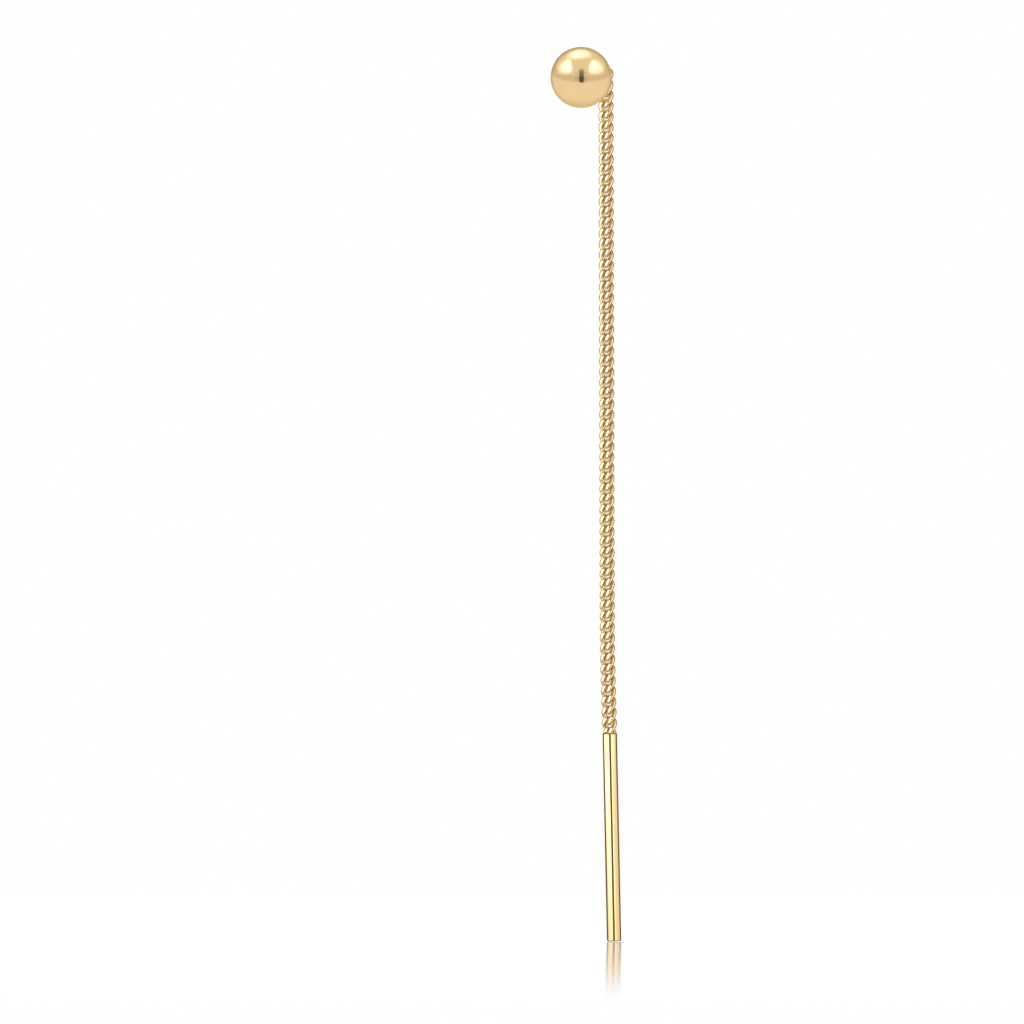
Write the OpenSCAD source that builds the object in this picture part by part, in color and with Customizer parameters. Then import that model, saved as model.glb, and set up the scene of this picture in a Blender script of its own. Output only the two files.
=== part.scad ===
/* [Ball] */
// Diameter of the polished ball
ball_d = 5; // [4:0.1:6]
// Height of the soldered first link above the middle of the ball
ball_drop = 0.08; // [0:0.02:0.3]

/* [Chain] */
// Width of the curb chain across its flat face
chain_w = 1.38; // [1.36:0.01:1.5]
// Thickness of the link wire, from corner to corner
wire_d = 0.33; // [0.24:0.01:0.33]
// Distance from one link to the next
link_pitch = 0.872; // [0.87:0.002:1]
// Number of loose links between the two ends
link_count = 60; // [20:1:64]
// Twist of a link's ends away from its middle, in degrees
link_twist = 50; // [48:1:54]
// Squareness of a link's oval, where 2 is an ellipse
link_square = 2.3; // [2.2:0.1:2.6]

/* [Bar] */
// Diameter of the bar
bar_d = 1.2; // [1.2:0.05:1.5]
// Length of the bar
bar_len = 17.1; // [10:0.1:30]
// Rounding of the bar's end edges
bar_edge = 0.12; // [0.05:0.01:0.2]
// Height of the bar's top above the middle of the link that is sunk in it
bar_rise = 0.33; // [0.25:0.01:0.45]

/* [Hang] */
// Direction in which the lower end drifts, turned from +X, in degrees
sway_turn = 42.4; // [0:0.1:90]
// Lean of the long upper stretch of chain, in degrees
upper_lean = 0.14; // [0:0.02:0.5]
// Lean of the last links above the bar, in degrees
lower_lean = 1.7; // [0:0.1:2]
// Lean of the bar, in degrees
bar_lean = 1.2; // [0:0.1:2]

/* [Hidden] */

// Corners round a link's oval, and round its wire
oval_steps = 16;
wire_sides = 6;

// Half width of a link's centre line, and half the height that leaves the same air
// above and below every wire
half_w = (chain_w - wire_d) / 2;
half_h = 3 * link_pitch / 4;

// Air between the ball and the nearest loose link
ball_gap = 0.12;

// Links over which the lean grows from the upper to the lower one
bend_links = 5;
bend_start = max(1, link_count - 8);

// The flat side of the wire soldered to the bar stays just inside the bar's edge
bar_link_half_w = (bar_d - wire_d * cos(180 / wire_sides)) / 2 - 0.01;
last_link = link_count + 2;

// Solder that joins the first link to the back of the ball
solder_d = 0.66;
solder_place = [-0.25, -0.5, 0.42];

gold = [0.93, 0.76, 0.45];
pale_gold = [0.96, 0.83, 0.56];

function unit(v) = v / norm(v);

function signed_pow(value, power) = sign(value) * pow(abs(value), power);

// Centre line of a link: an oval whose two ends are twisted opposite ways
function oval_point(angle, half) =
    let (
        across = half * signed_pow(sin(angle), 2 / link_square),
        up = signed_pow(cos(angle), 2 / link_square),
        turn = link_twist * up
    )
    [across * cos(turn), across * sin(turn), half_h * up];

// Direction that stands square to the oval's face at that angle
function oval_normal(angle) =
    let (turn = link_twist * signed_pow(cos(angle), 2 / link_square))
    [-sin(turn), cos(turn), 0];

// Ring of wire corners round one point of the centre line, with a flat side outward
function wire_ring(angle, half) =
    let (
        step = 360 / oval_steps,
        middle = oval_point(angle, half),
        along = unit(oval_point(angle + step / 2, half) - oval_point(angle - step / 2, half)),
        outward = unit(cross(along, oval_normal(angle))),
        sideways = cross(along, outward)
    )
    [
        for (side = [0:wire_sides - 1])
        let (corner = (side + 0.5) * 360 / wire_sides)
        middle + (outward * cos(corner) + sideways * sin(corner)) * wire_d / 2
    ];

// Two triangles for each patch between a ring and the next
function wire_faces() = [
    for (ring = [0:oval_steps - 1])
    for (side = [0:wire_sides - 1])
    let (
        next_ring = (ring + 1) % oval_steps,
        next_side = (side + 1) % wire_sides,
        a = ring * wire_sides + side,
        b = ring * wire_sides + next_side,
        c = next_ring * wire_sides + next_side,
        d = next_ring * wire_sides + side
    )
    each [[a, c, b], [a, d, c]]
];

// How far a link reaches towards the ball from the chain's middle
function reach_to_ball() = wire_d / 2 + max([
    for (ring = [0:oval_steps - 1])
    oval_point(ring * 360 / oval_steps, half_w).y
]);

// Lean of one link, which grows along the last stretch
function lean(index) =
    upper_lean + (lower_lean - upper_lean) * min(1, max(0, (index - bend_start) / bend_links));

// Sideways place of every link, added up from the leans above it
function side_places() = [
    for (
        index = 0, place = 0;
        index <= last_link;
        index = index + 1, place = place + link_pitch * tan(lean(index))
    )
    place
];

places = side_places();
ball_back = ball_d / 2 + ball_gap + reach_to_ball();

module link(half = half_w) {
    points = [
        for (ring = [0:oval_steps - 1])
        each wire_ring(ring * 360 / oval_steps, half)
    ];
    polyhedron(points = points, faces = wire_faces(), convexity = 6);
}

// Puts its children where a link of that number hangs, leaning along the sway while
// its flat face stays towards the front
module at_link(index, turn) {
    rotate([0, 0, sway_turn])
        translate([places[index], 0, -index * link_pitch])
            rotate([0, -turn, 0])
                rotate([0, 0, -sway_turn])
                    children();
}

module solder() {
    translate(solder_place)
        sphere(d = solder_d, $fn = 48);
}

// Round bar with softly rounded edges, whose top stands just above the last link's middle
module rod() {
    translate([0, 0, bar_rise - bar_len])
        rotate_extrude($fn = 96)
            union() {
                square([bar_d / 2 - bar_edge, bar_len]);
                translate([0, bar_edge])
                    square([bar_d / 2, bar_len - 2 * bar_edge]);
                for (height = [bar_edge, bar_len - bar_edge])
                    translate([bar_d / 2 - bar_edge, height])
                        circle(r = bar_edge, $fn = 48);
            }
}

// Ball with the first link soldered to its back
module ball() {
    color(gold)
        union() {
            translate([0, -ball_back, -ball_drop])
                sphere(d = ball_d, $fn = 128);
            solder();
            at_link(0, 0)
                link();
        }
}

// Loose links, each hanging in the one above
module chain() {
    color(pale_gold)
        for (index = [1:link_count])
            at_link(index, lean(index))
                link();
}

// Bar with the last two links soldered into its top, one to the middle and one by its end
module bar() {
    color(gold)
        union() {
            at_link(last_link, bar_lean) {
                rod();
                link(bar_link_half_w);
            }
            at_link(last_link - 1, lean(last_link - 1))
                link();
        }
}

ball();
chain();
bar();
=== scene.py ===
import logging
import math
from collections.abc import Iterable
from dataclasses import dataclass
from enum import Enum

import bmesh
import bpy
from mathutils import Matrix, Vector


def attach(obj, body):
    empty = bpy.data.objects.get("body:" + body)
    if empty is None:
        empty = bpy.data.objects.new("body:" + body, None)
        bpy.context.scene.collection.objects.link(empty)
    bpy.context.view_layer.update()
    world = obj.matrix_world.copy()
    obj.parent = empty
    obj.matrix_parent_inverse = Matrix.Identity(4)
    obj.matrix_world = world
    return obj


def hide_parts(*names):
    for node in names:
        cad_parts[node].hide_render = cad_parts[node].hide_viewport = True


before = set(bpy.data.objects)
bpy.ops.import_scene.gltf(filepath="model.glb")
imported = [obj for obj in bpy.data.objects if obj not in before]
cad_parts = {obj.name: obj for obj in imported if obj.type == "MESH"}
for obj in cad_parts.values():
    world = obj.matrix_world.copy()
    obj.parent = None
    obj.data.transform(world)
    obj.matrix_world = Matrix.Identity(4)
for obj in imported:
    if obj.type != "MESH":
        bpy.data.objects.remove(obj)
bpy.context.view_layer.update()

logging.basicConfig(level=logging.INFO, format="%(name)s: %(message)s")
LOG = logging.getLogger("earring")

Number = int | float
Colour = tuple[float, float, float]
Profile = list[tuple[float, float]]

MM = 0.001
MERGE_MM = 1e-5
BODY = "root"
WHITE = (1.0, 1.0, 1.0)
UP = Vector((0.0, 0.0, 1.0))


class Slot(Enum):
    """Material slots of the record.

    Attributes:
        BALL: Ball and its solder.
        CHAIN: Every link.
        BAR: Bar and its bead of solder.
    """

    BALL = "ball_gold"
    CHAIN = "chain_gold"
    BAR = "bar_gold"


class Mood(Enum):
    """What a panel of the studio does to the light that comes from its place.

    Attributes:
        GLOW: It adds light.
        SHADE: It leaves only a share of the light.
    """

    GLOW = "glow"
    SHADE = "shade"


def opaque(colour: Colour) -> tuple[float, float, float, float]:
    """Colour with full alpha, as the sockets take it."""
    return (*colour, 1.0)


class Value:
    """One socket of a node board, which adds Math nodes when it is calculated with."""

    def __init__(self, board: "Board", socket: bpy.types.NodeSocket) -> None:
        """Keep the socket and its board.

        Args:
            board: Board that new nodes go on.
            socket: Output socket that holds the number.
        """
        self.board = board
        self.socket = socket

    def _math(self, operation: str, left: "Value | Number", right: "Value | Number") -> "Value":
        """Add a Math node.

        Args:
            operation: Name of the Math node's operation.
            left: First value or number.
            right: Second value or number.

        Returns:
            The result as a value.
        """
        node = self.board.node("ShaderNodeMath", {"operation": operation}, {0: left, 1: right})
        return self.board.value(node)

    def __add__(self, other: "Value | Number") -> "Value":
        """Sum of this value and another."""
        return self._math("ADD", self, other)

    def __radd__(self, other: Number) -> "Value":
        """Sum of a number and this value."""
        return self._math("ADD", other, self)

    def __sub__(self, other: "Value | Number") -> "Value":
        """Difference of this value and another."""
        return self._math("SUBTRACT", self, other)

    def __rsub__(self, other: Number) -> "Value":
        """Difference of a number and this value."""
        return self._math("SUBTRACT", other, self)

    def __mul__(self, other: "Value | Number") -> "Value":
        """Product of this value and another."""
        return self._math("MULTIPLY", self, other)

    def __rmul__(self, other: Number) -> "Value":
        """Product of a number and this value."""
        return self._math("MULTIPLY", other, self)

    def __truediv__(self, other: "Value | Number") -> "Value":
        """Quotient of this value and another."""
        return self._math("DIVIDE", self, other)

    def __rtruediv__(self, other: Number) -> "Value":
        """Quotient of a number and this value."""
        return self._math("DIVIDE", other, self)

    def angle(self, other: "Value") -> "Value":
        """Angle in radians whose sine and cosine go as this value and another."""
        return self._math("ARCTAN2", self, other)

    def ramp(
        self, start: Number, stop: Number, low: Number = 0.0, high: Number = 1.0
    ) -> "Value":
        """Smooth step between two numbers.

        Args:
            start: Value at which the step begins.
            stop: Value at which it ends.
            low: Result before the step.
            high: Result after it.

        Returns:
            The smoothly stepped value.
        """
        node = self.board.node(
            "ShaderNodeMapRange",
            {"interpolation_type": "SMOOTHSTEP"},
            {0: self, 1: start, 2: stop, 3: low, 4: high},
        )
        return self.board.value(node)


class Board:
    """Nodes of one material, lamp or world."""

    def __init__(self, tree: bpy.types.NodeTree) -> None:
        """Empty the tree and keep it.

        Args:
            tree: Node tree of a material, lamp or world.
        """
        self.tree = tree
        tree.nodes.clear()

    def node(
        self,
        kind: str,
        settings: dict[str, object] | None = None,
        inputs: dict[int | str, object] | None = None,
    ) -> bpy.types.Node:
        """Add one node.

        Args:
            kind: Type of the node.
            settings: Properties that are set before the sockets.
            inputs: Numbers, vectors, values or sockets by socket name or index.

        Returns:
            The new node.
        """
        made = self.tree.nodes.new(kind)
        for name, setting in (settings or {}).items():
            setattr(made, name, setting)
        for key, given in (inputs or {}).items():
            target = made.inputs[key]
            if isinstance(given, Value):
                given = given.socket
            if isinstance(given, bpy.types.NodeSocket):
                self.tree.links.new(given, target)
            else:
                target.default_value = given
        return made

    def value(self, node: bpy.types.Node, output: int | str = 0) -> Value:
        """Output of a node as a value to calculate with."""
        return Value(self, node.outputs[output])

    def dot(self, vector: bpy.types.NodeSocket, axis: Vector) -> Value:
        """Length of a vector along a fixed axis.

        Args:
            vector: Socket with the vector.
            axis: Axis of length one.

        Returns:
            The length as a value.
        """
        node = self.node(
            "ShaderNodeVectorMath", {"operation": "DOT_PRODUCT"}, {0: vector, 1: tuple(axis)}
        )
        return self.value(node, "Value")

    def blend(
        self, share: Value, colour: Colour | bpy.types.NodeSocket, other: Colour
    ) -> bpy.types.NodeSocket:
        """Blend of two colours.

        Args:
            share: Share of the second colour.
            colour: First colour, or a socket that holds it.
            other: Second colour.

        Returns:
            Socket with the blended colour.
        """
        first = colour if isinstance(colour, bpy.types.NodeSocket) else opaque(colour)
        node = self.node(
            "ShaderNodeMix", {"data_type": "RGBA"}, {"Factor": share, 6: first, 7: opaque(other)}
        )
        return node.outputs[2]


@dataclass(frozen=True)
class PaintedGapShade:
    """Tone of the plate in narrow gaps, where the metal mostly sees more metal.

    Attributes:
        width_mm: Width of the gaps.
        painted_brim_bounce: Painted warm reflection of the neighbouring links, just inside a gap.
        bottom: Painted shade at the bottom of a gap.
        painted_brim_share: Share of hidden surroundings from which and at which the painted
            reflection is there.
        painted_bottom_share: The same for the painted shade at the bottom.
        painted_bottom_share: The same for the bottom's colour.
        samples: Number of directions that are looked in.
    """

    width_mm: float = 0.14
    painted_brim_bounce: Colour = (0.78, 0.48, 0.2)
    bottom: Colour = (0.08, 0.05, 0.02)
    painted_brim_share: tuple[float, float] = (0.1, 0.4)
    painted_bottom_share: tuple[float, float] = (0.3, 0.6)
    samples: int = 8

    def with_painted_shade(self, board: Board, colour: bpy.types.NodeSocket) -> bpy.types.NodeSocket:
        """Paint shade, and a warm painted reflection at the brim, where a gap hides part of the
        surroundings.

        Args:
            board: Board of the material.
            colour: Colour of the open metal.

        Returns:
            The colour with the tone of the gaps.
        """
        shade = board.node(
            "ShaderNodeAmbientOcclusion",
            {"samples": self.samples, "only_local": True},
            {"Distance": self.width_mm * MM},
        )
        hidden = 1.0 - board.value(shade, "AO")
        # Painted warm reflection at a gap's brim and painted shade at its bottom, by the share of
        # hidden surroundings
        for share, tone in ((self.painted_brim_share, self.painted_brim_bounce), (self.painted_bottom_share, self.bottom)):
            colour = board.blend(hidden.ramp(*share), colour, tone)
        return colour


@dataclass(frozen=True)
class GoldFinish:
    """Polished yellow gold plate with the faint marks of polishing and wear.

    Attributes:
        name: Name of the material.
        tint: Colour of the metal at its brightest.
        deep: Colour where the plate is a little deeper.
        polish: Roughness of the clean metal.
        haze: Roughness that fine wear adds.
        ripple_mm: Size of the soft ripples left by polishing.
        ripple: Height of those ripples in mm.
        grain_mm: Size of the finest marks.
        grain: Height of the finest marks in mm.
        grain_haze: Share of the haze that the finest marks bring.
        draw: Stretch of the marks along the vertical, as on drawn rod.
        wear_size: Size of the worn patches as a share of the ripples' size.
        wear_edge: Values of the cloud pattern between which the wear sets in.
        deep_edge: Values of the cloud pattern between which the tint deepens.
        cloud: Roughness of the cloud patterns themselves.
        ripple_detail: Octaves of finer clouds in the ripples.
        wear_detail: Octaves of finer clouds in the worn patches.
        grain_detail: Octaves of finer clouds in the finest marks.
        rim: Colour of the thin rim, where the metal is seen edge on.
        painted_gap_shade: Painted shade and painted reflection in the narrow gaps, if there are
            any.
    """

    name: str
    tint: Colour
    deep: Colour
    polish: float
    haze: float
    ripple_mm: float
    ripple: float
    grain_mm: float = 0.05
    grain: float = 0.00012
    grain_haze: float = 0.3
    draw: float = 1.0
    wear_size: float = 0.4
    wear_edge: tuple[float, float] = (0.45, 0.75)
    deep_edge: tuple[float, float] = (0.35, 0.7)
    cloud: float = 0.55
    ripple_detail: float = 1.0
    wear_detail: float = 4.0
    grain_detail: float = 3.0
    rim: Colour = (0.9, 0.74, 0.5)
    painted_gap_shade: PaintedGapShade | None = None

    def _noise(self, board: Board, size_mm: float, detail: float) -> Value:
        """Cloudy pattern fixed to the metal.

        Args:
            board: Board of the material.
            size_mm: Rough size of a cloud.
            detail: Octaves of finer clouds.

        Returns:
            The pattern from nothing to one.
        """
        place = board.node("ShaderNodeTexCoord")
        mapping = board.node(
            "ShaderNodeMapping",
            {"vector_type": "POINT"},
            {"Vector": place.outputs["Object"], "Scale": (1.0, 1.0, 1.0 / self.draw)},
        )
        clouds = board.node(
            "ShaderNodeTexNoise",
            {"noise_dimensions": "3D"},
            {
                "Vector": mapping.outputs[0],
                "Scale": 1.0 / (size_mm * MM),
                "Detail": detail,
                "Roughness": self.cloud,
            },
        )
        return board.value(clouds)

    def material(self) -> bpy.types.Material:
        """Make the material, or find it where another piece has it already.

        Returns:
            The material.
        """
        made = bpy.data.materials.get(self.name)
        if made:
            return made
        made = bpy.data.materials.new(self.name)
        made.use_nodes = True
        board = Board(made.node_tree)
        soft = self._noise(board, self.ripple_mm, self.ripple_detail)
        patches = self._noise(board, self.ripple_mm * self.wear_size, self.wear_detail)
        wear = patches.ramp(*self.wear_edge)
        fine = self._noise(board, self.grain_mm, self.grain_detail)
        colour = board.blend(soft.ramp(*self.deep_edge), self.tint, self.deep)
        # Painted shade and painted reflection in narrow gaps, where the finish has them
        if self.painted_gap_shade:
            colour = self.painted_gap_shade.with_painted_shade(board, colour)
        relief = soft * (self.ripple * MM) + fine * (self.grain * MM)
        bump = board.node(
            "ShaderNodeBump", None, {"Strength": 1.0, "Distance": 1.0, "Height": relief}
        )
        marks = fine * (self.haze * self.grain_haze)
        metal = board.node(
            "ShaderNodeBsdfPrincipled",
            None,
            {
                "Base Color": colour,
                "Metallic": 1.0,
                "Specular Tint": opaque(self.rim),
                "Roughness": wear * self.haze + (marks + self.polish),
                "Normal": bump.outputs[0],
            },
        )
        board.node("ShaderNodeOutputMaterial", None, {"Surface": metal.outputs[0]})
        return made


BALL_GOLD = GoldFinish(
    "polished_ball_gold",
    tint=(0.85, 0.61, 0.315),
    deep=(0.83, 0.585, 0.295),
    polish=0.11,
    haze=0.04,
    ripple_mm=2.4,
    ripple=0.0006,
)

CHAIN_GOLD = GoldFinish(
    "bright_chain_gold",
    tint=(0.9, 0.7, 0.4),
    deep=(0.89, 0.68, 0.37),
    polish=0.02,
    haze=0.02,
    ripple_mm=0.6,
    ripple=0.0015,
    # Painted shade and painted reflection in the gaps between links, which are hidden from mirror
    # images
    painted_gap_shade=PaintedGapShade(),
)

BAR_GOLD = GoldFinish(
    "polished_bar_gold",
    tint=(0.86, 0.62, 0.305),
    deep=(0.84, 0.595, 0.285),
    polish=0.04,
    haze=0.03,
    ripple_mm=1.2,
    ripple=0.0006,
    grain=0.00005,
    draw=8.0,
)


@dataclass(frozen=True)
class TableFinish:
    """White lit table, glossy round the hanging bar and matt further out.

    Attributes:
        name: Name of the material.
        glow: Brightness of the sheet.
        gloss: Share of the mirror image at a flat angle.
        gloss_full_mm: Distance from the bar up to which the gloss is full.
        gloss_reach_mm: Distance from the bar at which the gloss has faded.
        mirror: Colour of the mirror image.
        blur: Roughness of the mirror image.
        lacquer: Refractive index of the glossy coat.
    """

    name: str = "lit_white_table"
    glow: float = 1.0
    gloss: float = 0.87
    gloss_full_mm: float = 60.0
    gloss_reach_mm: float = 215.0
    mirror: Colour = (0.94, 0.94, 0.94)
    blur: float = 0.12
    lacquer: float = 1.45

    def material(self, middle: Vector) -> bpy.types.Material:
        """Make the material, which can only be seen from above.

        Args:
            middle: Point of the table under the bar.

        Returns:
            The new material.
        """
        made = bpy.data.materials.new(self.name)
        made.use_nodes = True
        made.cycles.emission_sampling = "NONE"
        board = Board(made.node_tree)
        place = board.node("ShaderNodeTexCoord")
        out = board.node(
            "ShaderNodeVectorMath",
            {"operation": "DISTANCE"},
            {0: place.outputs["Object"], 1: tuple(middle)},
        )
        near = board.value(out, "Value").ramp(
            self.gloss_full_mm * MM, self.gloss_reach_mm * MM, 1.0, 0.0
        )
        angle = board.value(board.node("ShaderNodeFresnel", None, {"IOR": self.lacquer}))
        sheet = board.node(
            "ShaderNodeEmission", None, {"Color": opaque(WHITE), "Strength": self.glow}
        )
        mirror = board.node(
            "ShaderNodeBsdfAnisotropic",
            None,
            {"Color": opaque(self.mirror), "Roughness": self.blur},
        )
        top = board.node(
            "ShaderNodeMixShader",
            None,
            {0: near * angle * self.gloss, 1: sheet.outputs[0], 2: mirror.outputs[0]},
        )
        clear = board.node("ShaderNodeBsdfTransparent")
        side = board.node("ShaderNodeNewGeometry")
        both = board.node(
            "ShaderNodeMixShader",
            None,
            {0: side.outputs["Backfacing"], 1: top.outputs[0], 2: clear.outputs[0]},
        )
        board.node("ShaderNodeOutputMaterial", None, {"Surface": both.outputs[0]})
        return made


def turned(profile: Profile, steps: int) -> bmesh.types.BMesh:
    """Turn a profile round the vertical.

    Args:
        profile: Radius and height of each point, from one pole to the other.
        steps: Number of steps round the axis.

    Returns:
        The closed turned shape.
    """
    shape = bmesh.new()
    points = [shape.verts.new((radius, 0.0, height)) for radius, height in profile]
    edges = [shape.edges.new(pair) for pair in zip(points, points[1:])]
    bmesh.ops.spin(
        shape,
        geom=points + edges,
        cent=(0.0, 0.0, 0.0),
        axis=UP,
        angle=math.tau,
        steps=steps,
        use_merge=True,
    )
    bmesh.ops.remove_doubles(shape, verts=shape.verts, dist=MERGE_MM)
    return shape


def add_shape(target: bmesh.types.BMesh, source: bmesh.types.BMesh, matrix: Matrix) -> None:
    """Move one shape into another, at a place.

    Args:
        target: Shape that grows.
        source: Shape that is added and then freed.
        matrix: Place of the added shape.
    """
    mesh = bpy.data.meshes.new("copy")
    source.to_mesh(mesh)
    source.free()
    before = len(target.verts)
    target.from_mesh(mesh)
    target.verts.ensure_lookup_table()
    bmesh.ops.transform(target, matrix=matrix, verts=target.verts[before:])
    bpy.data.meshes.remove(mesh)


def signed_pow(value: float, power: float) -> float:
    """Power of a number that keeps its sign."""
    return math.copysign(abs(value) ** power, value)


def quarter(steps: int) -> list[float]:
    """Angles from nothing to a quarter turn, in equal steps."""
    return [number / steps * math.pi / 2 for number in range(steps + 1)]


def direction(azimuth: float, elevation: float) -> Vector:
    """Direction in the frame of the part.

    Args:
        azimuth: Degrees from -Y towards +X.
        elevation: Degrees above the horizon.

    Returns:
        The direction, of length one.
    """
    turn, lift = math.radians(azimuth), math.radians(elevation)
    flat = math.cos(lift)
    return Vector((math.sin(turn) * flat, -math.cos(turn) * flat, math.sin(lift)))


@dataclass(frozen=True)
class Hang:
    """Line on which the earring hangs, with the small drift of its lower end.

    Attributes:
        pitch: Distance from link to link in mm.
        last: Number of the link that is sunk in the bar to its middle.
        sway_turn: Direction of the drift, in degrees from +X.
        upper_lean: Lean of the upper stretch in degrees.
        lower_lean: Lean of the last links in degrees.
        bar_lean: Lean of the bar in degrees.
        bend_start: Number of the link from which the lean grows.
        bend_links: Links over which the lean grows.
    """

    pitch: float = 0.872
    last: int = 62
    sway_turn: float = 42.4
    upper_lean: float = 0.14
    lower_lean: float = 1.7
    bar_lean: float = 1.2
    bend_start: int = 52
    bend_links: int = 5

    def lean(self, index: int) -> float:
        """Lean of the line at a link in degrees."""
        share = min(1.0, max(0.0, (index - self.bend_start) / self.bend_links))
        return self.upper_lean + (self.lower_lean - self.upper_lean) * share

    def place(self, index: int) -> Matrix:
        """Place of a link, where the first hangs upright and the last leans with the bar.

        Args:
            index: Number of the link, counted from the ball.

        Returns:
            The matrix in mm.
        """
        lean = {0: 0.0, self.last: self.bar_lean}.get(index, self.lean(index))
        slopes = (math.tan(math.radians(self.lean(above + 1))) for above in range(index))
        drift = sum(self.pitch * slope for slope in slopes)
        sway = Matrix.Rotation(math.radians(self.sway_turn), 4, "Z")
        return (
            sway
            @ Matrix.Translation((drift, 0.0, -index * self.pitch))
            @ Matrix.Rotation(math.radians(-lean), 4, "Y")
            @ sway.inverted()
        )


@dataclass(frozen=True)
class CurbLink:
    """One link of the curb chain: an oval of round wire, twisted so that it lies flat.

    Attributes:
        width: Width of the link in mm.
        wire: Thickness of the wire in mm.
        half_height: Half height of the wire's centre line in mm.
        twist: Twist of each end in degrees.
        square: Squareness of the oval, where 2 is an ellipse.
        narrow_half: Half width in mm of the centre line of the link that is sunk in the bar.
        around: Steps round the oval.
        sides: Sides of the wire.
    """

    width: float = 1.376
    wire: float = 0.4
    half_height: float = 0.639
    twist: float = 50.0
    square: float = 2.3
    narrow_half: float = 0.39
    around: int = 60
    sides: int = 16

    def _turn(self, angle: float) -> float:
        """Twist of the oval at an angle round it, in radians."""
        return math.radians(self.twist) * signed_pow(math.cos(angle), 2 / self.square)

    def middle(self, angle: float, half: float) -> Vector:
        """Point of the wire's centre line.

        Args:
            angle: Angle round the oval, from its top.
            half: Half width of the centre line in mm.

        Returns:
            The point in mm.
        """
        across = half * signed_pow(math.sin(angle), 2 / self.square)
        up = signed_pow(math.cos(angle), 2 / self.square)
        turn = self._turn(angle)
        return Vector((across * math.cos(turn), across * math.sin(turn), self.half_height * up))

    def _straight_ring(self, radius: float) -> bmesh.types.BMesh:
        """Ring of the link's wire, before it is bent into the oval.

        Args:
            radius: Radius of the ring's centre line.

        Returns:
            The closed ring, upright and facing along Y.
        """
        ring = bmesh.new()
        bmesh.ops.create_circle(ring, segments=self.sides, radius=self.wire / 2)
        upright = Matrix.Rotation(math.pi / 2, 3, "Y")
        bmesh.ops.rotate(ring, cent=(0, 0, 0), matrix=upright, verts=ring.verts)
        bmesh.ops.translate(ring, vec=UP * radius, verts=ring.verts)
        bmesh.ops.spin(
            ring,
            geom=list(ring.verts) + list(ring.edges),
            cent=(0, 0, 0),
            axis=(0, 1, 0),
            angle=math.tau,
            steps=self.around,
            use_merge=True,
        )
        bmesh.ops.remove_doubles(ring, verts=ring.verts, dist=MERGE_MM)
        return ring

    def shape(self, narrow: bool = False) -> bmesh.types.BMesh:
        """Bend a round wire ring into the link.

        Args:
            narrow: Whether this is the link that is sunk in the bar.

        Returns:
            The closed link in mm, its middle at the origin.
        """
        half = self.narrow_half if narrow else (self.width - self.wire) / 2
        radius = 1.0
        ring = self._straight_ring(radius)
        step = math.pi / self.around
        for vert in ring.verts:
            angle = math.atan2(vert.co.x, vert.co.z)
            out, side = math.hypot(vert.co.x, vert.co.z) - radius, vert.co.y
            turn = self._turn(angle)
            along = self.middle(angle + step, half) - self.middle(angle - step, half)
            along.normalize()
            outward = along.cross(Vector((-math.sin(turn), math.cos(turn), 0.0))).normalized()
            vert.co = self.middle(angle, half) + outward * out + along.cross(outward) * side
        return ring


class Part:
    """Sub-assembly of the earring, whose one piece gets one finish.

    Attributes:
        finish: Finish of the piece.
    """

    finish: GoldFinish

    def finished(
        self, name: str, shape: bmesh.types.BMesh, node: str, slot: Slot
    ) -> bpy.types.Object:
        """Turn a shape in mm into a finished piece.

        Args:
            name: Name of the piece.
            shape: Closed shape in mm, in the frame of the part.
            node: Node that the piece stands for.
            slot: Material slot of the record; not used.

        Returns:
            The new object.
        """
        bmesh.ops.transform(shape, matrix=Matrix.Scale(MM, 4), verts=shape.verts)
        bmesh.ops.recalc_face_normals(shape, faces=shape.faces)
        for face in shape.faces:
            face.smooth = True
        mesh = bpy.data.meshes.new(name)
        shape.to_mesh(mesh)
        shape.free()
        piece = bpy.data.objects.new(name, mesh)
        bpy.context.collection.objects.link(piece)
        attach(piece, BODY)
        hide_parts(node)
        LOG.info("%s: %d faces", name, len(mesh.polygons))
        return piece

    def dress(self, piece: bpy.types.Object) -> None:
        """Give the piece its finish."""
        piece.data.materials.append(self.finish.material())


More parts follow.
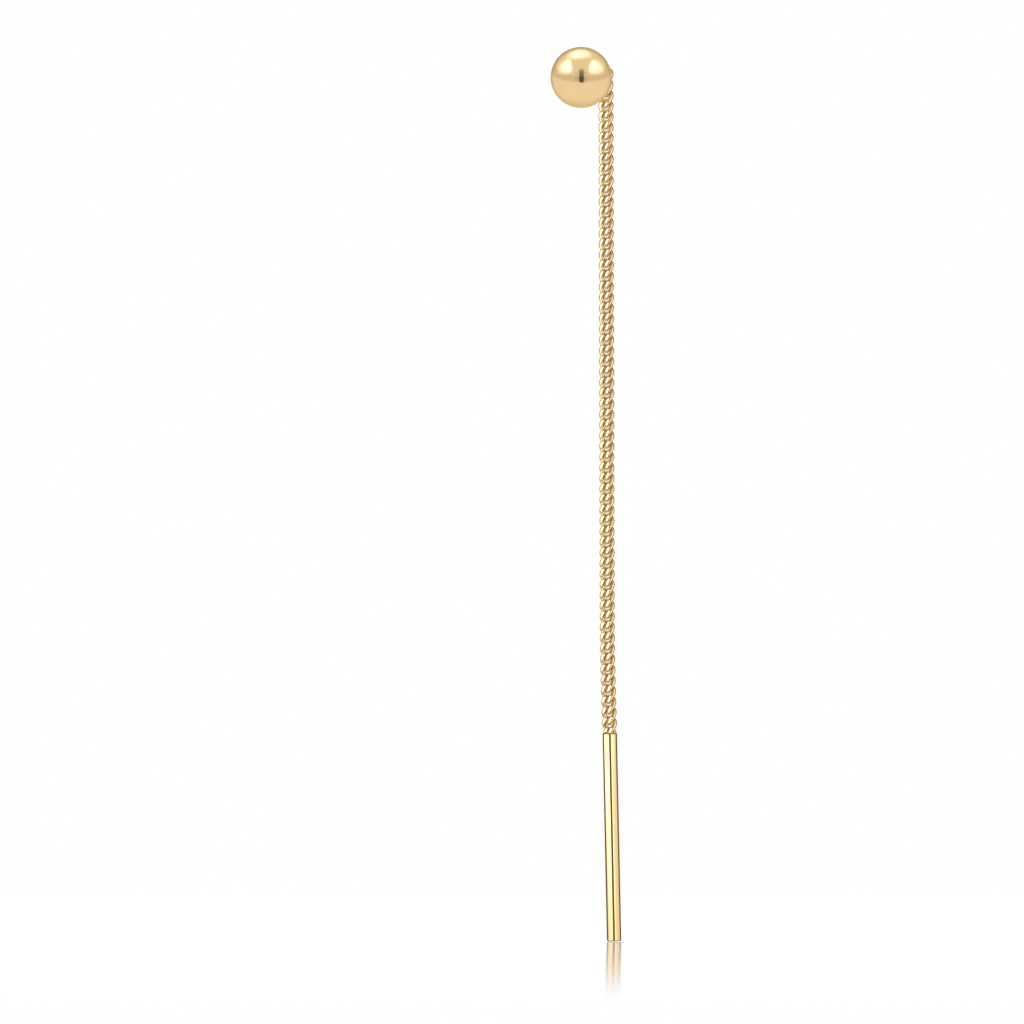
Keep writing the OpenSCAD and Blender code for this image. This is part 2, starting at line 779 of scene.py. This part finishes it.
@dataclass
class Ball(Part):
    """Polished ball with the solder that holds the first link at its back.

    Attributes:
        radius: Radius of the ball in mm.
        back: Distance from the ball's middle to the chain in mm.
        drop: Distance from the first link down to the ball's middle in mm.
        fineness: Subdivisions of the ball.
        solder_at: Place of the solder on the link's wire in mm.
        solder_foot: Radius of the solder on the ball in mm.
        solder_neck: Radius of the solder on the link in mm.
        solder_sunk: Depth of the solder's root in the ball in mm.
        solder_root: Radius of that root as a share of the foot's.
        solder_tip: Height of the rounded tip as a share of the neck's radius.
        seam: Depth in mm by which the foot's edge lies under the ball's skin.
        solder_steps: Steps round the solder.
        flare_steps: Steps along its flare, from the foot to the neck.
        tip_steps: Steps along its rounded tip.
        finish: Finish of the piece.
    """

    radius: float = 2.5
    back: float = 3.018
    drop: float = 0.08
    fineness: int = 6
    solder_at: tuple[float, float, float] = (-0.27, -0.27, 0.4)
    solder_foot: float = 0.5
    solder_neck: float = 0.25
    solder_sunk: float = 0.2
    solder_root: float = 0.8
    solder_tip: float = 0.8
    seam: float = 0.01
    solder_steps: int = 40
    flare_steps: int = 12
    tip_steps: int = 8
    finish: GoldFinish = BALL_GOLD

    def solder_profile(self, reach: float) -> Profile:
        """Outline of the solder, from its root in the ball to its tip.

        Args:
            reach: Distance from the ball's middle to the solder's place on the link in mm.

        Returns:
            Radius and distance from the ball's middle of each point in mm.
        """
        foot, neck = self.solder_foot, self.solder_neck
        sunk = self.radius - self.solder_sunk
        base = math.sqrt(self.radius**2 - foot**2) - self.seam
        root = [(0.0, sunk), (foot * self.solder_root, sunk)]
        flare = [
            (
                neck + (foot - neck) * (1 - math.sin(turn)),
                base + (reach - base) * (1 - math.cos(turn)),
            )
            for turn in quarter(self.flare_steps)
        ]
        tip = [
            (neck * math.cos(turn), reach + neck * self.solder_tip * math.sin(turn))
            for turn in quarter(self.tip_steps)[1:]
        ]
        return root + flare + tip

    def build(self) -> bpy.types.Object:
        """Model the ball, and the solder that flows from it onto the link, as one piece.

        Returns:
            The finished piece.
        """
        middle = Vector((0.0, -self.back, -self.drop))
        shape = bmesh.new()
        bmesh.ops.create_icosphere(
            shape,
            subdivisions=self.fineness,
            radius=self.radius,
            matrix=Matrix.Translation(middle),
        )
        way = Vector(self.solder_at) - middle
        aim = way.to_track_quat("Z", "Y").to_matrix().to_4x4()
        solder = turned(self.solder_profile(way.length), self.solder_steps)
        add_shape(shape, solder, Matrix.Translation(middle) @ aim)
        return self.finished("polished_ball", shape, "ball", Slot.BALL)


@dataclass
class Chain(Part):
    """Curb chain between the ball and the bar, or the links that are soldered at its ends.

    Attributes:
        name: Name of the piece.
        node: Node that the piece stands for.
        hang: Line that the earring hangs on.
        link: Shape of every link.
        numbers: Numbers of the links, counted from the ball.
        finish: Finish of the links.
    """

    name: str
    node: str
    hang: Hang
    link: CurbLink
    numbers: Iterable[int]
    finish: GoldFinish = CHAIN_GOLD

    def build(self) -> bpy.types.Object:
        """Hang every link in the one above it.

        The piece is hidden from mirror images, in which the links would turn one another
        a deep orange. Its finish paints shade and a warm reflection into the gaps instead.

        Returns:
            The finished piece.
        """
        shape = bmesh.new()
        for number in self.numbers:
            one = self.link.shape(narrow=number == self.hang.last)
            add_shape(shape, one, self.hang.place(number))
        piece = self.finished(self.name, shape, self.node, Slot.CHAIN)
        piece.visible_glossy = False
        return piece


@dataclass
class Bar(Part):
    """Round bar with a low bead of solder on its top, which holds the last links.

    Attributes:
        hang: Line that the earring hangs on.
        radius: Radius of the bar in mm.
        length: Length of the bar in mm.
        edge: Rounding of its end edges in mm.
        rise: Height of its top above the middle of the last link in mm.
        rings: Rings along the straight wall.
        flat_rings: Rings on the flat ends, as shares of their radius.
        edge_rings: Rings along each rounded edge.
        steps: Steps round the bar.
        bead_height: Height of the bead above the bar's top in mm.
        bead_sunk: Depth of the bead's root in the bar in mm.
        bead_root: Radius of that root as a share of the bead's.
        bead_rings: Rings along the bead's slope.
        bead_steps: Steps round the bead.
        finish: Finish of the piece.
    """

    hang: Hang
    radius: float = 0.6
    length: float = 17.1
    edge: float = 0.12
    rise: float = 0.33
    rings: int = 24
    flat_rings: tuple[float, ...] = (0.0, 0.5, 0.95)
    edge_rings: int = 8
    steps: int = 96
    bead_height: float = 0.16
    bead_sunk: float = 0.3
    bead_root: float = 0.9
    bead_rings: int = 10
    bead_steps: int = 64
    finish: GoldFinish = BAR_GOLD

    def profile(self) -> Profile:
        """Outline of the bar from its bottom pole to its top pole.

        Returns:
            Radius and height of each point in mm.
        """
        bottom, inner = -self.length, self.radius - self.edge
        low, high = bottom + self.edge, -self.edge
        flat = [inner * share for share in self.flat_rings]
        turns = quarter(self.edge_rings)
        under = [(radius, bottom) for radius in flat]
        under += [
            (inner + self.edge * math.sin(turn), bottom + self.edge * (1 - math.cos(turn)))
            for turn in turns
        ]
        wall = [
            (self.radius, low + (high - low) / 2 * (1 - math.cos(number / self.rings * math.pi)))
            for number in range(1, self.rings)
        ]
        over = [
            (inner + self.edge * math.cos(turn), -self.edge * (1 - math.sin(turn)))
            for turn in turns
        ]
        over += [(radius, 0.0) for radius in reversed(flat)]
        return under + wall + over

    def bead_profile(self) -> Profile:
        """Outline of the low bead of solder on the bar's top.

        Returns:
            Radius and height of each point in mm.
        """
        rim, high = self.radius - self.edge, self.bead_height
        root = [(0.0, -self.bead_sunk), (rim * self.bead_root, -self.bead_sunk)]
        turns = quarter(self.bead_rings)[:-1]
        slope = [(rim * math.cos(turn), high * math.sin(turn)) for turn in turns]
        return root + slope + [(0.0, high)]

    def build(self) -> bpy.types.Object:
        """Turn the bar and its bead of solder.

        Returns:
            The finished piece.
        """
        top = self.hang.place(self.hang.last) @ Matrix.Translation(UP * self.rise)
        shape = bmesh.new()
        add_shape(shape, turned(self.profile(), self.steps), top)
        add_shape(shape, turned(self.bead_profile(), self.bead_steps), top)
        return self.finished("polished_bar", shape, "bar", Slot.BAR)


@dataclass(frozen=True)
class Span:
    """Stretch of an angle in degrees, over which a panel rises and falls again.

    Attributes:
        rise_from: Angle at which the panel begins.
        rise_to: Angle from which it is full.
        fall_from: Angle up to which it is full.
        fall_to: Angle at which it has ended.
    """

    rise_from: float
    rise_to: float
    fall_from: float
    fall_to: float

    def mask(self, angle: Value) -> Value:
        """How much of the panel lies at an angle.

        Args:
            angle: Angle in radians.

        Returns:
            One on the panel and nothing outside it.
        """
        rise = angle.ramp(math.radians(self.rise_from), math.radians(self.rise_to))
        fall = angle.ramp(math.radians(self.fall_from), math.radians(self.fall_to), 1.0, 0.0)
        return rise * fall

    def share(self, angle: Value) -> Value:
        """Place of an angle on the panel.

        Args:
            angle: Angle in radians.

        Returns:
            Nothing at the panel's middle, and one or minus one at its ends.
        """
        start, stop = math.radians(self.rise_from), math.radians(self.fall_to)
        return (angle - (start + stop) / 2) / ((stop - start) / 2)


@dataclass(frozen=True)
class Panel:
    """Soft-edged rectangle or oval on the walls of a tent.

    Attributes:
        azimuth: Direction that its angles are measured from, in degrees to the right of the camera.
        elevation: Height of that direction in degrees.
        across: Its stretch to the right of that direction.
        over: Its stretch above that direction.
        level: Light that it adds, or share of the light that it leaves.
        mood: Whether it glows or shades.
        oval: Share of its squared size at which its edge starts to fade, if it is an oval.
    """

    azimuth: float
    elevation: float
    across: Span
    over: Span
    level: float
    mood: Mood = Mood.GLOW
    oval: float | None = None

    def _mask(self, board: Board, ray: bpy.types.NodeSocket, turn: float) -> Value:
        """How much of the panel lies in a direction.

        Args:
            board: Board of the lamp.
            ray: Socket with the direction.
            turn: Direction of the camera in degrees.

        Returns:
            One on the panel and nothing outside it.
        """
        azimuth = turn + self.azimuth
        ahead = board.dot(ray, direction(azimuth, self.elevation))
        side = board.dot(ray, direction(azimuth + 90.0, 0.0)).angle(ahead)
        rise = board.dot(ray, direction(azimuth, self.elevation + 90.0)).angle(ahead)
        mask = self.across.mask(side) * self.over.mask(rise)
        if self.oval is None:
            return mask
        wide, high = self.across.share(side), self.over.share(rise)
        return mask * (wide * wide + high * high).ramp(self.oval, 1.0, 1.0, 0.0)

    def lit(self, light: Value, board: Board, ray: bpy.types.NodeSocket, turn: float) -> Value:
        """Add the panel to the light of a tent.

        Args:
            light: Brightness of the walls without the panel.
            board: Board of the lamp.
            ray: Socket with the direction.
            turn: Direction of the camera in degrees.

        Returns:
            Their brightness with it.
        """
        mask = self._mask(board, ray, turn)
        if self.mood is Mood.GLOW:
            return light + mask * self.level
        return light * (1.0 - mask * (1.0 - self.level))


@dataclass(frozen=True)
class Tent:
    """Cube of soft lamps round some of the pieces, which lights only those.

    Attributes:
        name: Name of the tent.
        lights: Names of the pieces that it lights.
        middle: Middle of the tent in mm.
        ground: Brightness of the walls below the ground's edge.
        horizon: Brightness between the two edges.
        sky: Brightness above the sky's edge.
        sill: Height of the ground's edge in degrees.
        roof: Height of the sky's edge in degrees.
        sill_blur: Half width of the ground's edge, as a sine.
        roof_blur: Half width of the sky's edge, as a sine.
        bow: Rise of both edges from the camera's side to behind, as a sine.
        panels: Panels on its walls.
        reach: Distance of the walls in mm.
        tone: Colour of its light.
        glare: Colour of its brightest light, where that isn't the same.
        glare_range: Brightness from which, and at which, the light has the glare's colour.
    """

    name: str
    lights: tuple[str, ...]
    middle: tuple[float, float, float]
    ground: float
    horizon: float
    sky: float
    sill: float = 0.0
    roof: float = 0.0
    sill_blur: float = 0.08
    roof_blur: float = 0.1
    bow: float = 0.0
    panels: tuple[Panel, ...] = ()
    reach: float = 300.0
    tone: Colour = WHITE
    glare: Colour | None = None
    glare_range: tuple[float, float] = (1.2, 2.0)

    def _brightness(self, board: Board, ray: bpy.types.NodeSocket, turn: float) -> Value:
        """Brightness of the walls in a direction.

        Args:
            board: Board of the lamp.
            ray: Socket with the direction.
            turn: Direction of the camera in degrees.

        Returns:
            The brightness with all panels.
        """
        front = board.dot(ray, direction(turn, 0.0))
        rise = board.dot(ray, UP) + (front - 1.0) * (self.bow / 2)
        sill, roof = math.sin(math.radians(self.sill)), math.sin(math.radians(self.roof))
        light = rise.ramp(sill - self.sill_blur, sill + self.sill_blur, self.ground, self.horizon)
        light = light + rise.ramp(
            roof - self.roof_blur, roof + self.roof_blur, 0.0, self.sky - self.horizon
        )
        for panel in self.panels:
            light = panel.lit(light, board, ray, turn)
        return light

    def _lamp(self, turn: float) -> bpy.types.Light:
        """Make the lamp that all six walls share.

        Args:
            turn: Direction of the camera in degrees.

        Returns:
            The lamp with its pattern of panels.
        """
        lamp = bpy.data.lights.new(self.name, "AREA")
        lamp.shape = "SQUARE"
        lamp.size = 2 * self.reach * MM
        lamp.energy = math.pi * lamp.size**2
        lamp.use_nodes = True
        board = Board(lamp.node_tree)
        spot = board.node("ShaderNodeNewGeometry").outputs["Position"]
        middle = tuple(Vector(self.middle) * MM)
        away = board.node("ShaderNodeVectorMath", {"operation": "SUBTRACT"}, {0: spot, 1: middle})
        ray = board.node("ShaderNodeVectorMath", {"operation": "NORMALIZE"}, {0: away.outputs[0]})
        light = self._brightness(board, ray.outputs[0], turn)
        colour = opaque(self.tone)
        if self.glare:
            colour = board.blend(light.ramp(*self.glare_range), self.tone, self.glare)
        glow = board.node("ShaderNodeEmission", None, {"Color": colour, "Strength": light})
        board.node("ShaderNodeOutputLight", None, {"Surface": glow.outputs[0]})
        return lamp

    def pitch(self, pieces: dict[str, bpy.types.Object], turn: float) -> None:
        """Stand the six walls round their pieces.

        Args:
            pieces: Every object that can be lit, by name.
            turn: Direction of the camera in degrees.
        """
        lit = bpy.data.collections.new(self.name)
        for name in self.lights:
            lit.objects.link(pieces[name])
        lamp = self._lamp(turn)
        walls = [(1, 0, 0), (-1, 0, 0), (0, 1, 0), (0, -1, 0), (0, 0, 1), (0, 0, -1)]
        for number, wall in enumerate(Vector(wall) for wall in walls):
            stand = bpy.data.objects.new(f"{self.name}_{number}", lamp)
            stand.location = (Vector(self.middle) + wall * self.reach) * MM
            stand.rotation_euler = wall.to_track_quat("Z", "Y").to_euler()
            stand.visible_camera = False
            bpy.context.collection.objects.link(stand)
            stand.light_linking.receiver_collection = lit
        LOG.info("%s: %d panels", self.name, len(self.panels))


CAMERA_SLOT = Span(-10.5, -8.5, 8, 10)

BALL_TENT = Tent(
    "ball_tent",
    ("ball",),
    middle=(0.0, -3.0, -0.1),
    ground=1.0,
    horizon=0.78,
    sky=0.96,
    sill=-17.0,
    roof=3.0,
    bow=0.42,
    panels=(
        # Windows overhead, at the left and at the right
        Panel(0.0, 90.0, Span(-44, -34, 22, 32), Span(-24, -14, 40, 48), 0.9, oval=0.0),
        Panel(-78.0, 0.0, Span(-50, 10, 45, 47), Span(2, 32, 58, 60), 1.15, oval=0.45),
        Panel(74.0, 0.0, Span(-48, -46, -10, 50), Span(2, 32, 58, 60), 1.15, oval=0.45),
        # Dark slot for the camera, and the faint shade round it
        Panel(0.0, 0.0, Span(-28, -22, 22, 28), Span(-19.5, -18, 14, 26), 0.86, Mood.SHADE),
        Panel(2.0, 0.0, CAMERA_SLOT, Span(-21, -19.5, 20, 38), 0.3, Mood.SHADE),
        Panel(2.0, 0.0, CAMERA_SLOT, Span(-21, -19.5, -6, 12), 0.5, Mood.SHADE),
        # Darker wall behind, and the floor at its foot
        Panel(180.0, 0.0, Span(-55, -30, 30, 55), Span(-20, -5, 40, 52), 0.76, Mood.SHADE),
        Panel(180.0, 0.0, Span(-55, -20, 20, 55), Span(-85, -60, -20, -5), 0.88, Mood.SHADE),
    ),
    glare=(1.0, 1.02, 1.3),
)

CHAIN_WALL = Span(-60, -50, 50, 60)

CHAIN_TENT = Tent(
    "chain_tent",
    ("chain", "first_link", "last_links"),
    middle=(0.0, 0.0, -27.0),
    ground=0.6,
    horizon=0.23,
    sky=0.54,
    sill=-58.0,
    roof=58.0,
    panels=(
        # Strong window at the left, a weak one far left and a weak one at the right
        Panel(-46.0, 0.0, Span(-28, -27, 27, 28), Span(-62, -60, 28, 30), 3.9),
        Panel(-110.0, 0.0, Span(-12, -10, 10, 12), CHAIN_WALL, 1.0),
        Panel(66.0, 0.0, Span(-28, -27, 27, 28), CHAIN_WALL, 0.98),
        # Narrow strip beside the camera, and the wall behind
        Panel(20.0, 0.0, Span(-4, -3, 3, 4), CHAIN_WALL, 1.8),
        Panel(180.0, 0.0, Span(-45, -25, 25, 45), CHAIN_WALL, 0.42),
    ),
    tone=(1.0, 0.93, 0.8),
)

BAR_WALL = Span(-60, -40, 9, 24)
BAR_LEFT = Span(-52, -28, 43, 45)

BAR_TENT = Tent(
    "bar_tent",
    ("bar",),
    middle=(0.35, 0.33, -62.0),
    ground=0.3,
    horizon=0.15,
    sky=0.3,
    sill=-50.0,
    roof=50.0,
    panels=(
        # Window at the left, with a strip that brightens the bar's lower part
        Panel(-60.0, 0.0, BAR_LEFT, BAR_WALL, 1.2),
        Panel(-60.0, 0.0, BAR_LEFT, Span(-2.7, -2.2, -0.8, -0.5), 1.2),
        # Window at the right, brighter towards the camera
        Panel(60.0, 0.0, Span(-45, -43, 30, 56), BAR_WALL, 0.92),
        Panel(60.0, 0.0, Span(-45, -43, -42, -8), BAR_WALL, 0.8),
        # Strip that shows in the bar's mirror image, and the wall behind
        Panel(60.0, 0.0, Span(-45, -43, -10, 25), Span(0.55, 0.66, 1.1, 1.4), 0.9),
        Panel(180.0, 0.0, Span(-28, -20, 20, 28), Span(-30, -20, 40, 60), 0.9),
    ),
    reach=1000.0,
)

TABLE_TENT = Tent(
    "table_tent", ("table",), middle=(0.0, 0.0, -71.0), ground=1.24, horizon=1.24, sky=1.24
)


@dataclass
class Studio:
    """White table, light tents and the camera.

    Attributes:
        camera_turn: Direction of the camera, in degrees from -Y towards +X.
        camera_far: Distance of the camera in mm.
        sensor: Width of the camera's sensor in mm.
        clip: Nearest and furthest distance that the camera sees, in metres.
        view_width: Width of the picture at the chain in mm.
        chain_right: Place of the chain to the right of the picture's middle in mm.
        middle_height: Height of the picture's middle in mm.
        table_height: Height of the table in mm.
        table_radius: Radius of the table in mm.
        table_steps: Steps round the table.
        bar_foot: Place of the bar's lower end on the table in mm.
        table_finish: Finish of the table.
        tents: Light tents round the pieces.
    """

    camera_turn: float = 42.66
    camera_far: float = 1600.0
    sensor: float = 36.0
    clip: tuple[float, float] = (0.01, 10.0)
    view_width: float = 83.934
    chain_right: float = 7.697
    middle_height: float = -35.65
    table_height: float = -70.86
    table_radius: float = 216.0
    table_steps: int = 128
    bar_foot: tuple[float, float] = (0.35, 0.3)
    table_finish: TableFinish = TableFinish()
    tents: tuple[Tent, ...] = (BALL_TENT, CHAIN_TENT, BAR_TENT, TABLE_TENT)

    def surroundings(self) -> None:
        """Make the white that the camera sees behind the earring, which lights nothing."""
        world = bpy.data.worlds.new("white_studio")
        bpy.context.scene.world = world
        world.use_nodes = True
        board = Board(world.node_tree)
        seen = board.value(board.node("ShaderNodeLightPath"), "Is Camera Ray")
        sky = board.node("ShaderNodeBackground", None, {"Color": opaque(WHITE), "Strength": seen})
        board.node("ShaderNodeOutputWorld", None, {"Surface": sky.outputs[0]})
        LOG.info("surroundings: white")

    def light(self, pieces: dict[str, bpy.types.Object]) -> None:
        """Stand every tent round its pieces, which are given by name."""
        for tent in self.tents:
            tent.pitch(pieces, self.camera_turn)

    def table(self) -> bpy.types.Object:
        """Lay the white table just under the bar's end.

        Returns:
            The table.
        """
        disc = bmesh.new()
        bmesh.ops.create_circle(
            disc,
            cap_ends=True,
            segments=self.table_steps,
            radius=self.table_radius * MM,
            matrix=Matrix.Translation(UP * (self.table_height * MM)),
        )
        mesh = bpy.data.meshes.new("white_table")
        disc.to_mesh(mesh)
        disc.free()
        top = bpy.data.objects.new("white_table", mesh)
        bpy.context.collection.objects.link(top)
        under = Vector((*self.bar_foot, self.table_height)) * MM
        mesh.materials.append(self.table_finish.material(under))
        top.visible_diffuse = top.visible_glossy = top.visible_shadow = False
        LOG.info("table: laid")
        return top

    def camera(self) -> None:
        """Stand the camera level at the side of the ball, with a long lens."""
        data = bpy.data.cameras.new("camera")
        data.sensor_width = self.sensor
        data.lens = self.sensor * self.camera_far / self.view_width
        data.clip_start, data.clip_end = self.clip
        stand = bpy.data.objects.new("camera", data)
        back = direction(self.camera_turn, 0.0)
        right = direction(self.camera_turn + 90.0, 0.0)
        aim = (UP * self.middle_height - right * self.chain_right) * MM
        stand.location = aim + back * (self.camera_far * MM)
        stand.rotation_euler = back.to_track_quat("Z", "Y").to_euler()
        bpy.context.collection.objects.link(stand)
        bpy.context.scene.camera = stand
        bpy.context.scene.view_settings.view_transform = "Standard"
        LOG.info("camera: set")


def main() -> None:
    """Build the earring piece by piece, then the studio round it."""
    hang = Hang()
    link = CurbLink()
    last = hang.last
    makers = {
        "ball": Ball(),
        "first_link": Chain("soldered_first_link", "ball", hang, link, (0,)),
        "chain": Chain("curb_chain", "chain", hang, link, range(1, last - 1)),
        "last_links": Chain("soldered_last_links", "bar", hang, link, (last - 1, last)),
        "bar": Bar(hang),
    }
    pieces = {}
    for name, maker in makers.items():
        pieces[name] = maker.build()
        maker.dress(pieces[name])
        LOG.info("%s: dressed", name)
    studio = Studio()
    studio.surroundings()
    studio.light(pieces | {"table": studio.table()})
    studio.camera()


if __name__ == "__main__":
    main()
